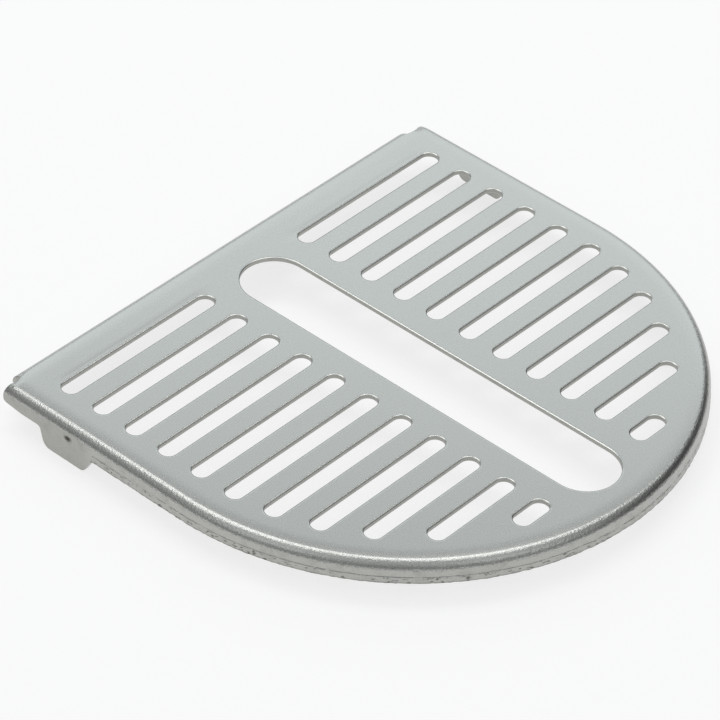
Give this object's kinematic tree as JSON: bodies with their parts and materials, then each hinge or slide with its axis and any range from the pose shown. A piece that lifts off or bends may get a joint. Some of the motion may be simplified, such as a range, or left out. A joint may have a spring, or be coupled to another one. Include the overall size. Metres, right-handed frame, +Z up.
{
  "type": "drip tray grid",
  "caption": "D-shaped pressed steel grid with cross slots, a long middle slot, a turned-down rim and two side lugs; it covers a small coffee machine's drip tray and holds the cup.",
  "frame": {"origin": "bottom centre of the bounding box, so the two lugs end at Z = 0", "axes": "+Z up out of the top face, -Y towards the rounded nose, +Y towards the straight back edge, X across the grid"},
  "size_m": [0.1134, 0.102, 0.0078],
  "materials": {
    "stainless_sheet": "satin, non-directional, as pressed stainless sheet"
  },
  "bodies": {
    "root": {"drip_grid": "stainless_sheet"}
  },
  "joints": []
}
